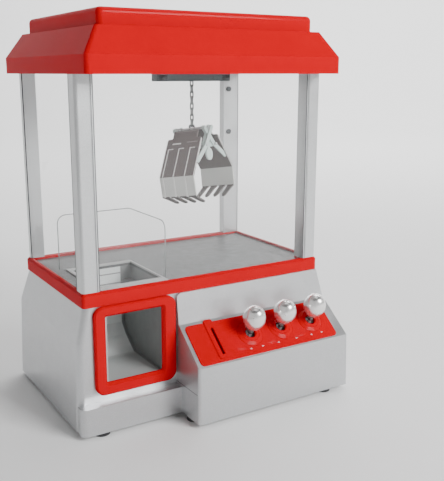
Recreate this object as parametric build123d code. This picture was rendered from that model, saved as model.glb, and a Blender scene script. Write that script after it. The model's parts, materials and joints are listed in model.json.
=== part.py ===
from build123d import *
from math import atan2, cos, degrees, pi, radians, sin
import os

# Table-top claw crane machine (sweet grabber). Millimetres, +Z up, front towards -Y.
# The origin is the centre of the footprint, on the surface that the feet stand on.

# Driving dimensions
HEIGHT = 364.0
FOOT_HEIGHT = 4.0
PLATE = 2.0
WALL = 2.4
GAP = 0.3
RUN = 0.05

# Silver base body: half widths and rear faces at the bottom, at the crease and under the band
BODY_Z = FOOT_HEIGHT + PLATE
CREASE_Z = 84.5
BAND_Z = 117.2
BAND_TOP = 129.8
BODY_HALF = (135.0, 132.0, 124.8)
BODY_REAR = (93.0, 91.5, 80.5)
FRONT_RADIUS = 6.0
REAR_RADIUS = 3.0
PLATE_INSET = WALL + 0.15
FRONT_WALL = -72.4
PLINTH_FRONT = -83.2
PLINTH_TOP = 29.3

# Control housing: left edge, front face, and the slope between its front and rear edges
HOUSING_LEFT = -37.2
HOUSING_FRONT = -115.5
PANEL_FRONT = -78.7
PANEL_TOP = -75.0
SLOPE_LOW = 58.0
SLOPE_HIGH = 88.0
FASCIA_X = (-33.5, 122.0)
FASCIA_Y = (-22.0, 20.5)
FASCIA_RISE = 0.8
FASCIA_DEPTH = 1.0
COIN_X = -7.5
LEVER_X = (28.5, 64.0, 100.0)
LEVER_LEAN = 22.7
LEVER_LENGTH = 18.6
PIVOT_DEPTH = 6.0

# Red band, posts and windows
BAND_HALF = 126.6
BAND_Y = (-73.2, 80.5)
WELL_X = 122.3
WELL_Y = (-69.4, 71.5)
POST_TOP = 312.0
FRONT_POST = (109.5, 125.5, -71.5, -58.0)
REAR_POST_Y = (71.5, 80.5)
REAR_POST_LEFT = (-124.0, -110.5)
REAR_POST_RIGHT = (105.3, 124.5)
PANE = 1.5
FRONT_PANE = -69.2
SIDE_PANE = 120.5

# Prize deck, chute and guard
DECK_TOP = 127.5
DECK = 2.5
HOLE_X = (-104.0, -42.0)
HOLE_Y = (-55.0, 13.0)
DOOR_OUTER = (-118.0, -38.5, 35.5, 116.9)
DOOR_INNER = (-107.0, -52.0, 46.5, 107.5)
GUARD_TOP = 182.0
GUARD_LEFT = -114.0
GUARD_X = -39.0
GUARD_Y = 18.5
GUARD = 1.6

# Roof: half sizes of the skirt, the hip and the raised block about the roof's own centre line
ROOF_Y = 8.0
SKIRT = (126.2, 107.5)
HIP = (111.8, 94.3)
BLOCK = (107.0, 88.0)
SKIRT_TOP = 327.0
HIP_TOP = 349.6
SLOT_X = 105.0
SLOT_Y = (-58.0, 62.0)
CEILING = 3.0

# Travelling mechanism
BRIDGE_Y = -5.0
TROLLEY_X = 20.0
SIDE_ROD_X = 117.0
SIDE_ROD_Z = 321.0
CROSS_ROD_Z = 331.0
CROSS_ROD_Y = 11.0
ROD = 3.0
TOOTH_PITCH = pi
PINION = 4.5
SIDE_RACK_X = 108.0
AXLE_Y = 20.0
SIDE_PITCH_Z = 318.0
CROSS_PITCH_Z = 332.0
CROSS_RACK_Y = -18.3
HOIST_RADIUS = 7.0
HOIST_Z = 347.5

# Claw, measured from the point where it hangs on the chain
HANG_Z = 260.0
CLAW_TURN = 30.0
CLAW_TILT = 7.9
CHAIN_TOP = 348.0
LINK_PITCH = 5.5
LINK_BAR = 1.2
JAW_PIVOT = (9.0, -18.0)
SPREADER = (5.0, -1.0)
JAW_HALF = 19.2
SHEET = 1.6
PIN = 1.2

# Base fittings
CELL_RADIUS = 17.1
CELL_LENGTH = 61.5
CELL_Y = (-27.0, 8.5, 44.0)
BAY = (38.0, 108.0, -46.6, 63.6)
TOKEN_BIN = (-20.0, 10.0, -108.0, -80.0)
TRIP_Z = 41.0
FEET = ((-114, -74), (-120, 78), (120, 78), (112, -106), (-29.5, -93.5))
BASE_BOSSES = ((-123, -58), (-123, 60), (123, -58), (123, 67))
ROOF_BOSSES = ((-97, -80), (-97, 96), (97, -80), (97, 96))
POST_SCREW_X = 111.35
POST_SCREW_Z = (247.6, 295.0)
SCREW = 1.5
SCREW_HEAD = 2.8
SCREW_SINK = 1.8
SWITCH_X = 60.0
SWITCH_Z = 60.0


def block(x0, x1, y0, y1, z0, z1):
    """A box between two corners."""
    return Pos((x0 + x1) / 2, (y0 + y1) / 2, (z0 + z1) / 2) * Box(x1 - x0, y1 - y0, z1 - z0)


def bar(start, end, radius):
    """A round bar between two points."""
    start, end = Vector(*start), Vector(*end)
    plane = Plane(origin=start, z_dir=end - start)
    return extrude(plane * Circle(radius), (end - start).length)


def slab(half_x, y0, y1, z, radius):
    """A horizontal rounded rectangle, as a face at height z."""
    return Pos(0, (y0 + y1) / 2, z) * RectangleRounded(2 * half_x, y1 - y0, radius)


def footprint(half_x, y0, y1, z, inset):
    """A horizontal rectangle with every corner rounded but the front right one."""
    face = Rectangle(2 * half_x, y1 - y0)
    face = fillet(face.vertices().group_by(Axis.Y)[-1], REAR_RADIUS - inset)
    front_left = face.vertices().sort_by_distance((-half_x, (y0 - y1) / 2, 0))[0]
    return Pos(0, (y0 + y1) / 2, z) * fillet(front_left, FRONT_RADIUS - inset)


def profile_yz(points, x0, x1):
    """A polygon of (y, z) points, extruded along X."""
    plane = Plane(origin=(x0, 0, 0), x_dir=(0, 1, 0), z_dir=(1, 0, 0))
    return extrude(plane * make_face(Polyline(*points, close=True)), x1 - x0)


def profile_xz(points, y0, y1):
    """A polygon of (x, z) points, extruded along Y."""
    plane = Plane(origin=(0, y1, 0), x_dir=(1, 0, 0), z_dir=(0, -1, 0))
    return extrude(plane * make_face(Polyline(*points, close=True)), y1 - y0)


def fuse(shapes):
    """All the shapes as one."""
    whole = shapes[0]
    for shape in shapes[1:]:
        whole = whole + shape
    return whole


def slope_plane():
    """The plane of the sloping control face: local X across, local Y up the slope."""
    run, rise = PANEL_FRONT - HOUSING_FRONT, SLOPE_HIGH - SLOPE_LOW
    middle = (HOUSING_FRONT + PANEL_FRONT) / 2
    return Plane(
        origin=(0, middle, (SLOPE_LOW + SLOPE_HIGH) / 2),
        x_dir=(1, 0, 0),
        z_dir=(0, -rise, run),
    )


def lever_axes(x):
    """A lever's pivot, the point where it leaves the fascia, and the direction it points in."""
    plane = slope_plane()
    base = plane.from_local_coords(Vector(x, 0, 0))
    up = Vector(0, -sin(radians(LEVER_LEAN)), cos(radians(LEVER_LEAN)))
    return base - up * (PIVOT_DEPTH / up.dot(plane.z_dir)), base, up


def lever_pin(x, radius, length):
    """The cross pin that a lever turns on, along the slope."""
    plane = slope_plane()
    pivot = plane.to_local_coords(lever_axes(x)[0])
    return plane * Pos(x, pivot.Y, pivot.Z) * Rot(90, 0, 0) * Cylinder(radius, length)


# Base


def body_solid(inset):
    """The base body from the foot to the band, with every side moved in by inset."""
    levels = (FOOT_HEIGHT, CREASE_Z, BAND_Z)
    sections = [
        footprint(half - inset, FRONT_WALL + inset, rear - inset, z, inset)
        for half, rear, z in zip(BODY_HALF, BODY_REAR, levels)
    ]
    return loft(sections[:2], ruled=True) + loft(sections[1:], ruled=True)


def plinth_solid(inset):
    """The low step along the foot of the front wall."""
    half = BODY_HALF[0] - inset
    face = Pos(0, (PLINTH_FRONT + inset) / 2, FOOT_HEIGHT) * RectangleRounded(
        2 * half, -PLINTH_FRONT - inset, FRONT_RADIUS - inset
    )
    step = extrude(face, PLINTH_TOP - inset - FOOT_HEIGHT)
    return step & block(-half, HOUSING_LEFT, PLINTH_FRONT, FRONT_WALL + 1, FOOT_HEIGHT, PLINTH_TOP)


def base_shell():
    shell = body_solid(0) - body_solid(WALL)
    step = plinth_solid(0) - plinth_solid(WALL)
    shell = shell + (step - block(-BODY_HALF[0], 0, FRONT_WALL + 0.1, 0, 0, PLINTH_TOP))
    x0, x1, z0, z1 = DOOR_INNER
    shell = shell - block(x0 - 3, x1 + 4, FRONT_WALL - 1, FRONT_WALL + 5, z0 - 4, z1 + 4.5)
    shell = shell - block(-30, 116, FRONT_WALL - 1, FRONT_WALL + 5, 14, 80)
    slot = block(SWITCH_X - 6, SWITCH_X + 10, 80, 95, SWITCH_Z - 2.4, SWITCH_Z + 2.4)
    shell = shell - slot
    for x, y in BASE_BOSSES:
        outer = BODY_HALF[0] - WALL / 2
        rib = block(min(x, outer), outer, y - 1, y + 1, BODY_Z, 26)
        if x < 0:
            rib = block(-outer, x, y - 1, y + 1, BODY_Z, 26)
        boss = Pos(x, y, (BODY_Z + 26) / 2) * Cylinder(4, 26 - BODY_Z)
        shell = shell + (boss + (rib & body_solid(WALL / 2)))
        shell = shell - bar((x, y, BODY_Z), (x, y, BODY_Z + 10), SCREW)
    return shell - plate_blank()


def plate_outline():
    """The footprint of the base plate, just inside the walls around it."""
    half = BODY_HALF[0] - PLATE_INSET
    main = footprint(half, FRONT_WALL, BODY_REAR[0] - PLATE_INSET, 0, PLATE_INSET)
    front = PLINTH_FRONT + PLATE_INSET
    step = Pos(0, front / 2) * RectangleRounded(2 * half, -front, FRONT_RADIUS - PLATE_INSET)
    left, front = HOUSING_LEFT + PLATE_INSET, HOUSING_FRONT + PLATE_INSET
    return main + step + Pos((left + half) / 2, front / 2) * Rectangle(half - left, -front)


def plate_blank():
    return extrude(Pos(0, 0, FOOT_HEIGHT) * plate_outline(), PLATE)


def door_rails(x0, x1, y0, y1, reach):
    """Two L-shaped rails under the base plate that hold a sliding door."""
    rails = []
    for y, inner in ((y0, 1), (y1, -1)):
        side = sorted((y - inner * GAP, y - inner * 2.2))
        lip = sorted((y + inner * 1.5, y - inner * 2.2))
        rails.append(block(x0, x1 + reach, *side, 0.9, FOOT_HEIGHT))
        rails.append(block(x0, x1 + reach, *lip, 0.9, 1.7))
    return rails


def base_plate():
    plate = plate_blank()
    x0, x1, y0, y1 = BAY
    plate = plate - block(x0 + 3, x1 - 3, y0 + 3, y1 - 3, 3, 7)
    u0, u1, v0, v1 = TOKEN_BIN
    plate = plate - block(u0 + 3, u1 - 3, v0 + 3, v1 - 3, 3, 7)
    plate = fuse([plate, *door_rails(x0, x1, y0, y1, 12), *door_rails(u0, u1, v0, v1, 12)])
    for ring in (6, 12, 18):
        for turn in range(0, 360, 30):
            x = -78 + ring * cos(radians(turn))
            y = 50 + ring * sin(radians(turn))
            plate = plate - bar((x, y, 3), (x, y, 7), 1.4)
    for x, y in BASE_BOSSES:
        plate = plate - bar((x, y, 3), (x, y, 7), SCREW)
    for x, y in FEET:
        plate = plate - bar((x, y, 3), (x, y, 7), 3)
    return plate


def base_feet():
    foot = bar((0, 0, 0), (0, 0, FOOT_HEIGHT), 7.5) + bar((0, 0, 3), (0, 0, BODY_Z), 3)
    return [Pos(x, y, 0) * foot for x, y in FEET]


def screw(point, direction, length=8.0):
    """A pan-head screw whose head rests at the point."""
    point, direction = Vector(*point), Vector(*direction)
    head = bar(point - direction * 1.7, point, SCREW_HEAD)
    return head + bar(point, point + direction * length, SCREW)


def case_screws():
    screws = [screw((x, y, FOOT_HEIGHT), (0, 0, 1), 10) for x, y in BASE_BOSSES]
    screws += [screw((x, y, POST_TOP + SCREW_SINK), (0, 0, 1), 10) for x, y in ROOF_BOSSES]
    screws += [screw((POST_SCREW_X, REAR_POST_Y[0], z), (0, 1, 0), 6) for z in POST_SCREW_Z]
    return screws


# Control housing


def housing_outline(inset):
    """Side view of the housing and of the panel above it."""
    slope = slope_plane()
    low = slope.from_local_coords(Vector(0, -60, -inset))
    high = slope.from_local_coords(Vector(0, 60, -inset))
    grade = (high.Z - low.Z) / (high.Y - low.Y)
    front = HOUSING_FRONT + inset
    panel = PANEL_FRONT + inset
    return [
        (FRONT_WALL, FOOT_HEIGHT),
        (front, FOOT_HEIGHT),
        (front, low.Z + grade * (front - low.Y)),
        (panel, low.Z + grade * (panel - low.Y)),
        (PANEL_TOP + inset, BAND_Z - inset),
        (FRONT_WALL, BAND_Z - inset),
    ]


def housing_solid(inset):
    solid = profile_yz(housing_outline(inset), HOUSING_LEFT + inset, BODY_HALF[0])
    side = [
        (HOUSING_LEFT - 1, FOOT_HEIGHT),
        (BODY_HALF[0] - inset, FOOT_HEIGHT),
        (BODY_HALF[1] - inset, CREASE_Z),
        (BODY_HALF[2] - inset, BAND_Z),
        (HOUSING_LEFT - 1, BAND_Z),
    ]
    return solid & profile_xz(side, HOUSING_FRONT, FRONT_WALL)


def fascia_outline():
    x0, x1 = FASCIA_X
    y0, y1 = FASCIA_Y
    return Pos((x0 + x1) / 2, (y0 + y1) / 2) * RectangleRounded(x1 - x0, y1 - y0, 4)


def control_holes(radius, slot):
    """The lever holes and the coin slot, square to the slope and right through it."""
    plane = slope_plane()
    holes = [extrude(plane * Pos(x, 0, -4) * Circle(radius), 8) for x in LEVER_X]
    holes.append(extrude(plane * Pos(COIN_X, -0.6, -4) * Rectangle(slot, 28.5), 8))
    return fuse(holes)


def control_housing():
    outer = housing_solid(0)
    corner = outer.edges().filter_by(Axis.Y).sort_by(Axis.X)[0:2].sort_by(Axis.Z)[-1:]
    outer = fillet(corner, 5)
    front = outer.edges().filter_by(Axis.Z).filter_by(
        lambda edge: abs(edge.center().Y - HOUSING_FRONT) < 0.5
    )
    outer = fillet(front, 3)
    shell = outer - housing_solid(WALL)
    pocket = extrude(slope_plane() * fascia_outline(), -FASCIA_DEPTH)
    return shell - pocket - control_holes(6.5, 4.0) - plate_blank()


def control_fascia():
    plane = slope_plane()
    body = extrude(plane * Pos(0, 0, -FASCIA_DEPTH) * fascia_outline(), FASCIA_DEPTH + FASCIA_RISE)
    strip = extrude(plane * Pos(COIN_X - 1.2, 2, 0) * RectangleRounded(9, 42, 2), FASCIA_RISE + 0.7)
    body = body + strip
    for x in LEVER_X:
        face = plane * Pos(x, 0, FASCIA_RISE) * Circle(13)
        body = body + loft([face, plane * Pos(x, 0, 2.0) * Circle(9.5)])
    return body - control_holes(5.2, 2.6)


def lever_boots():
    """Flat collars where the levers come through the fascia."""
    plane = slope_plane()
    boots = []
    for x in LEVER_X:
        collar = loft([plane * Pos(x, 0, 2.0) * Circle(7.6), plane * Pos(x, 0, 2.4) * Circle(7.2)])
        boots.append(collar - extrude(plane * Pos(x, 0, 1.5) * Circle(6.0), 4))
    return boots


def lever_sockets():
    """One bracket with a fork for each lever, hung under the slope."""
    plane = slope_plane()
    x0, x1 = LEVER_X[0] - 15, LEVER_X[-1] + 15
    floor = -PIVOT_DEPTH - 7
    strip = extrude(plane * Pos((x0 + x1) / 2, 0, floor - 2) * Rectangle(x1 - x0, 22), 2)
    walls = []
    for x in (x0 + 1, x1 - 1):
        walls.append(extrude(plane * Pos(x, 0, floor) * Rectangle(2, 22), -floor - WALL))
    for x in LEVER_X:
        middle = plane.to_local_coords(lever_axes(x)[0]).Y
        for y in (middle - 5.5, middle + 5.5):
            walls.append(extrude(plane * Pos(x, y, floor) * Rectangle(8, 2), 10.0))
    bracket = fuse([strip, *walls])
    for x in LEVER_X:
        bracket = bracket - lever_pin(x, PIN + RUN, 16)
    return bracket


def lever_stem(x):
    """The lever's rod, with the ball and the cross pin that it turns on."""
    pivot, base, up = lever_axes(x)
    ball = Pos(*pivot) * Sphere(3.2)
    return bar(pivot, base + up * LEVER_LENGTH, 2.0) + ball + lever_pin(x, PIN, 13)


def lever_knob(x):
    """An egg-shaped knob on the end of a lever."""
    pivot, base, up = lever_axes(x)
    centre = base + up * LEVER_LENGTH
    plane = Plane(origin=centre, x_dir=(1, 0, 0), z_dir=up)
    low, high = (2.4, -15.0), (0, 13.0)
    edge = Spline(low, (6.6, -9.5), (10.9, 0.5), (8.0, 8.9), high, tangents=((0.5, 1), (-1, 0)))
    half = make_face(edge + Line(high, (0, low[1])) + Line((0, low[1]), low))
    egg = plane * revolve(Plane.XZ * half, Axis.Z)
    return egg - bar(pivot, centre, 2.0)


def coin_bin():
    """Open-bottomed bin that the tokens fall into, under the coin slot."""
    x0, x1, y0, y1 = TOKEN_BIN
    hollow = block(x0 + 1.6, x1 - 1.6, y0 + 1.6, y1 - 1.6, BODY_Z, TRIP_Z + 5)
    duct = block(x0, x1, y0, y1, BODY_Z, TRIP_Z + 5) - hollow
    for side in (-1, 1):
        ear_x = sorted((COIN_X + side * 3.0, COIN_X + side * 4.6))
        duct = duct + block(*ear_x, y1 - 0.5, y1 + 7.2, TRIP_Z - 3, TRIP_Z + 3)
    duct = duct - bar((COIN_X - 5, y1 + 5, TRIP_Z), (COIN_X + 5, y1 + 5, TRIP_Z), PIN + RUN)
    return duct - block(COIN_X - 1.6, COIN_X + 1.6, y1 - 3, y1 + 1, TRIP_Z - 8, TRIP_Z + 5)


def coin_trip():
    """Wire lever that a falling token pushes aside, on its pivot behind the bin."""
    y = TOKEN_BIN[3] + 5
    arm = block(COIN_X - 0.8, COIN_X + 0.8, y - 19, y, TRIP_Z - 0.7, TRIP_Z + 0.7)
    return arm + bar((COIN_X - 4.8, y, TRIP_Z), (COIN_X + 4.8, y, TRIP_Z), PIN)


def slide_door(x0, x1, y0, y1):
    """A thin door in rails under the base plate, with a ribbed finger pad."""
    door = block(x0 + GAP, x1 - GAP, y0, y1, 2.0, FOOT_HEIGHT - GAP)
    for k in range(3):
        door = door + block(x1 - 12 + 3 * k, x1 - 11 + 3 * k, y0 + 8, y1 - 8, 1.4, 2.0)
    return door


# Prize door, chute and deck


def door_frame():
    x0, x1, z0, z1 = DOOR_OUTER
    plane = Plane(origin=((x0 + x1) / 2, FRONT_WALL, (z0 + z1) / 2), x_dir=(1, 0, 0), z_dir=(0, -1, 0))
    body = extrude(plane * RectangleRounded(x1 - x0, z1 - z0, 9), 4.4)
    body = chamfer(body.faces().sort_by(Axis.Y)[0].outer_wire().edges(), 1.4)
    u0, u1, v0, v1 = DOOR_INNER
    inner = Pos((u0 + u1 - x0 - x1) / 2, (v0 + v1 - z0 - z1) / 2)
    hole = extrude(plane * inner * RectangleRounded(u1 - u0, v1 - v0, 1.5), 10)
    flare = plane * inner * Pos(0, 0, 1.6) * RectangleRounded(u1 - u0, v1 - v0, 1.5)
    wide = plane * inner * Pos(0, 0, 4.6) * RectangleRounded(u1 - u0 + 5, v1 - v0 + 5, 2.5)
    return body - hole - loft([flare, wide])


def prize_chute():
    """Drop chute from the hole in the deck to the opening in the front."""
    x0, x1 = DOOR_INNER[0] + 2, DOOR_INNER[1] + 2
    wall = 1.8
    floor, sill, top = 44.5, 57.0, DECK_TOP - DECK
    inner = [
        (FRONT_WALL, floor),
        (-14.5, floor),
        (4.0, sill),
        (HOLE_Y[1], sill + 10),
        (HOLE_Y[1], top),
        (HOLE_Y[0], top),
        (HOLE_Y[0], 113.0),
        (FRONT_WALL, 108.6),
    ]
    outer = [
        (FRONT_WALL, floor - wall),
        (-14.0, floor - wall),
        (5.2, sill - wall),
        (HOLE_Y[1] + wall, sill + 9.2),
        (HOLE_Y[1] + wall, top),
        (HOLE_Y[0] - wall, top),
        (HOLE_Y[0] - wall, 114.8),
        (FRONT_WALL, 110.4),
    ]
    hollow = profile_yz(inner, x0, x1)
    throat = block(HOLE_X[0], HOLE_X[1], HOLE_Y[0], HOLE_Y[1], 112, top)
    body = profile_yz(outer, x0 - wall, x1 + wall)
    body = body + block(HOLE_X[0] - wall, HOLE_X[1] + wall, HOLE_Y[0] - wall, HOLE_Y[1] + wall, 110.2, top)
    return body - hollow - throat


def front_pads(z0, z1):
    """The two corners of the well that carry the front posts."""
    inner, y = FRONT_POST[0], FRONT_POST[3]
    spans = ((-WELL_X, -inner), (inner, WELL_X))
    return fuse([block(*span, WELL_Y[0], y, z0, z1) for span in spans])


def deck_tray():
    tray = block(-WELL_X, WELL_X, *WELL_Y, DECK_TOP - DECK, DECK_TOP)
    tray = tray - front_pads(DECK_TOP - DECK, DECK_TOP)
    return tray - block(*HOLE_X, *HOLE_Y, DECK_TOP - DECK, DECK_TOP)


def chute_collar():
    """Flat rim round the hole, widest towards the front window."""
    top = DECK_TOP + 1.5
    outer = block(HOLE_X[0] - 4, HOLE_X[1] + 1.8, FRONT_PANE + PANE + GAP, HOLE_Y[1] + 4, DECK_TOP, top)
    return outer - block(*HOLE_X, *HOLE_Y, DECK_TOP, top)


def chute_guard():
    half = GUARD / 2
    rear = block(GUARD_LEFT, GUARD_X + half, GUARD_Y - half, GUARD_Y + half, DECK_TOP, GUARD_TOP)
    side = block(GUARD_X - half, GUARD_X + half, -58.0, GUARD_Y + half, DECK_TOP, GUARD_TOP)
    rear = fillet(rear.edges().filter_by(Axis.Y).sort_by(Axis.X)[0:2].sort_by(Axis.Z)[-1:], 8)
    side = fillet(side.edges().filter_by(Axis.X).sort_by(Axis.Y)[0:2].sort_by(Axis.Z)[-1:], 8)
    return rear + side


# Band, posts and windows


def rim_band():
    y0, y1 = BAND_Y
    ring = extrude(slab(BAND_HALF, y0, y1, BAND_Z, 3), BAND_TOP - BAND_Z)
    ring = chamfer(ring.faces().sort_by(Axis.Z)[-1].outer_wire().edges(), 2.0)
    well = block(-WELL_X, WELL_X, *WELL_Y, BAND_Z, BAND_TOP)
    ring = ring - (well - front_pads(BAND_Z, BAND_TOP))
    channel = block(-WELL_X, WELL_X, WELL_Y[1] + 2, y1 - 3, BAND_Z, BAND_Z + 8)
    ring = ring - channel
    x, y = hinge_point()
    return ring - bar((x, y, BAND_TOP - 4), (x, y, BAND_TOP), 1.25 + RUN)


def post(x0, x1, y0, y1, outer_x, outer_y):
    """A hollow corner post with its outer corner rounded and a shallow line down one face."""
    body = block(x0, x1, y0, y1, BAND_TOP, POST_TOP)
    corner = body.edges().filter_by(Axis.Z).sort_by_distance((outer_x, outer_y, 220))[0]
    body = fillet(corner, 3)
    hollow = block(x0 + 1.6, x1 - 1.6, y0 + 1.6, y1 - 1.6, BAND_TOP, POST_TOP)
    inner_x = x0 if outer_x == x1 else x1
    step = 3.2 if inner_x == x0 else -3.2
    face_y = y0 - 0.1 if outer_y == y0 else y1 - 0.3
    groove = block(inner_x + step - 0.4, inner_x + step + 0.4, face_y, face_y + 0.4, BAND_TOP, POST_TOP)
    return body - hollow - groove


def front_post(side):
    x0, x1, y0, y1 = FRONT_POST
    span = (x0, x1) if side > 0 else (-x1, -x0)
    return post(*span, y0, y1, side * x1, y0)


def rear_left_post():
    return post(*REAR_POST_LEFT, *REAR_POST_Y, REAR_POST_LEFT[0], REAR_POST_Y[1])


def rear_right_post():
    body = post(*REAR_POST_RIGHT, *REAR_POST_Y, REAR_POST_RIGHT[1], REAR_POST_Y[1])
    x, y = POST_SCREW_X, REAR_POST_Y[0]
    for z in POST_SCREW_Z:
        body = body - bar((x, y, z), (x, y + 3, z), SCREW)
    return body


def front_window():
    return block(-FRONT_POST[0], FRONT_POST[0], FRONT_PANE, FRONT_PANE + PANE, DECK_TOP, POST_TOP)


def side_windows():
    y0, y1 = FRONT_POST[3], REAR_POST_Y[0]
    spans = ((-SIDE_PANE - PANE, -SIDE_PANE), (SIDE_PANE, SIDE_PANE + PANE))
    return [block(x0, x1, y0, y1, DECK_TOP, POST_TOP) for x0, x1 in spans]


def hinge_point():
    """Where the rear door's vertical hinge line stands."""
    return REAR_POST_RIGHT[0] - 3.0, REAR_POST_Y[1] - 4.0


def rear_door():
    """Clear loading door between the rear posts, with moulded hinge pins and a knob."""
    x, y = hinge_point()
    low, high = BAND_TOP + 0.5, POST_TOP - 0.5
    door = block(REAR_POST_LEFT[1] + 0.6, x, y - 0.9, y + 0.9, low + 2, high - 2)
    door = door + bar((x, y, low), (x, y, high), 2.4)
    door = door + bar((x, y, low - 3.5), (x, y, high + 2.8), 1.25)
    knob_x = REAR_POST_LEFT[1] + 12
    return door + bar((knob_x, y + 0.9, 220), (knob_x, y + 9, 220), 5)


# Roof


def roof_section(half, z, radius):
    return slab(half[0], ROOF_Y - half[1], ROOF_Y + half[1], z, radius)


def shrink(half, inset):
    return half[0] - inset, half[1] - inset


def roof_hat():
    """The roof's outer form as one solid."""
    skirt = extrude(roof_section(SKIRT, POST_TOP, 4), SKIRT_TOP - POST_TOP)
    hip = loft([roof_section(SKIRT, SKIRT_TOP, 4), roof_section(HIP, HIP_TOP, 3)], ruled=True)
    top = extrude(roof_section(BLOCK, HIP_TOP, 5), HEIGHT - HIP_TOP)
    top = fillet(top.faces().sort_by(Axis.Z)[-1].outer_wire().edges(), 4.5)
    return skirt + hip + top


def roof_shell():
    hat = roof_hat()
    side = shrink(SKIRT, WALL)
    skirt = extrude(roof_section(side, POST_TOP, 1.6), SKIRT_TOP - POST_TOP - 1)
    hip = loft(
        [roof_section(side, SKIRT_TOP - 1, 1.6), roof_section(shrink(HIP, 1.4), HIP_TOP - WALL, 1.6)],
        ruled=True,
    )
    top = extrude(roof_section(shrink(BLOCK, WALL), HIP_TOP - WALL - 1, 3), HEIGHT - HIP_TOP + 1)
    shell = hat - skirt - hip - top
    for x, y in ROOF_BOSSES:
        boss = bar((x, y, POST_TOP + CEILING), (x, y, HIP_TOP), 4) & hat
        shell = shell + boss
        shell = shell - bar((x, y, POST_TOP + CEILING), (x, y, POST_TOP + 12), SCREW)
    return shell


def ceiling_frame():
    """The frame that closes the roof from below and carries the side rods."""
    side = shrink(SKIRT, WALL + 0.1)
    frame = extrude(roof_section(side, POST_TOP, 3), CEILING)
    frame = frame - block(-SLOT_X, SLOT_X, *SLOT_Y, POST_TOP, POST_TOP + CEILING)
    for x in (-SIDE_ROD_X, SIDE_ROD_X):
        for y0, y1 in ((SLOT_Y[0] - 4, SLOT_Y[0] + 2), (SLOT_Y[1] - 2, SLOT_Y[1] + 4)):
            holder = block(x - 4.5, x + 4.5, y0, y1, POST_TOP + CEILING, SIDE_ROD_Z + 4.5)
            frame = frame + holder
        frame = frame - bar((x, SLOT_Y[0] - 3, SIDE_ROD_Z), (x, SLOT_Y[1] + 3, SIDE_ROD_Z), ROD)
    for x, y in ROOF_BOSSES:
        frame = frame - bar((x, y, POST_TOP), (x, y, POST_TOP + CEILING), SCREW)
        frame = frame - bar((x, y, POST_TOP), (x, y, POST_TOP + SCREW_SINK), SCREW_HEAD + RUN)
    x, y = hinge_point()
    return frame - bar((x, y, POST_TOP), (x, y, POST_TOP + CEILING), 1.25 + RUN)


def side_rods():
    y0, y1 = SLOT_Y[0] - 3, SLOT_Y[1] + 3
    return [bar((x, y0, SIDE_ROD_Z), (x, y1, SIDE_ROD_Z), ROD) for x in (-SIDE_ROD_X, SIDE_ROD_X)]


# Rack and pinion drives


def rack_teeth(start, length, width):
    """Rack teeth along local X, standing on local Z = -1, with the pitch line at local Z = 0."""
    teeth = []
    count = int(length / TOOTH_PITCH)
    for k in range(count):
        x = start + (k + 0.5) * TOOTH_PITCH
        outline = [(x - 0.95, -1.0), (x + 0.95, -1.0), (x + 0.3, 0.8), (x - 0.3, 0.8)]
        teeth.append(profile_xz(outline, -width / 2, width / 2))
    return teeth


def rack(start, length, width):
    back = block(start, start + length, -width / 2, width / 2, -3.0, -0.99)
    return fuse([back, *rack_teeth(start, length, width)])


def pinion(width, turn):
    """A nine-tooth pinion about local Y; turn is the angle of one tooth from local -Z."""
    count = round(2 * pi * PINION / TOOTH_PITCH)
    wheel = Rot(90, 0, 0) * Cylinder(PINION - 1.0, width)
    outline = [(-0.95, PINION - 1.3), (0.95, PINION - 1.3), (0.3, PINION + 0.8), (-0.3, PINION + 0.8)]
    for k in range(count):
        tooth = profile_xz(outline, -width / 2, width / 2)
        wheel = wheel + Rot(0, 180 + turn + 360 * k / count, 0) * tooth
    return wheel


def gap_turn(distance):
    """The turn that puts a tooth in the rack gap whose centre lies distance behind the pinion."""
    return degrees(distance / PINION)


def side_racks():
    """Toothed strips on the ceiling frame, along Y."""
    strip = Rot(0, 0, 90) * rack(SLOT_Y[0] + 3, SLOT_Y[1] - SLOT_Y[0] - 6, 3.6)
    z = SIDE_PITCH_Z
    return [Pos(x, 0, z) * strip for x in (-SIDE_RACK_X, SIDE_RACK_X)]


def axle_point():
    return BRIDGE_Y + AXLE_Y, SIDE_PITCH_Z + PINION


def bridge_axle():
    y, z = axle_point()
    return bar((-SIDE_RACK_X - 5, y, z), (SIDE_RACK_X + 5, y, z), 1.5)


def bridge_pinions():
    """The two drive wheels on the bridge axle."""
    y, z = axle_point()
    distance = (y - SLOT_Y[0] - 3) % TOOTH_PITCH
    wheel = Rot(0, 0, 90) * pinion(3.4, gap_turn(distance))
    wheel = wheel - Rot(0, 90, 0) * Cylinder(1.5, 10)
    return [Pos(x, y, z) * wheel for x in (-SIDE_RACK_X, SIDE_RACK_X)]


def bridge_blocks():
    """The two end blocks that slide on the side rods and hold the cross rods."""
    blocks = []
    y = BRIDGE_Y
    axle_y, axle_z = axle_point()
    for side in (-1, 1):
        outer = [side * 111, side * 121]
        upper = [side * 104.5, side * 113.5]
        body = block(*sorted(outer), y - 11, y + 24, POST_TOP + CEILING + 0.5, 326.4)
        body = body + block(*sorted(upper), y - 22, y + 24, 326, 337)
        rod_x = side * SIDE_ROD_X
        body = body - bar((rod_x, y - 30, SIDE_ROD_Z), (rod_x, y + 30, SIDE_ROD_Z), ROD + RUN)
        for offset in (-CROSS_ROD_Y, CROSS_ROD_Y):
            start, end = (side * 103, y + offset, CROSS_ROD_Z), (side * 112, y + offset, CROSS_ROD_Z)
            body = body - bar(start, end, ROD)
        start, end = (side * 105, axle_y, axle_z), (side * 113.5, axle_y, axle_z)
        body = body - bar(start, end, 1.5 + RUN)
        notch = sorted((side * (SIDE_RACK_X - 2.5), side * (SIDE_RACK_X + 2.5)))
        body = body - block(*notch, axle_y - 6.5, axle_y + 6.5, 325, axle_z + 6.5)
        blocks.append(body)
    return blocks


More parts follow.
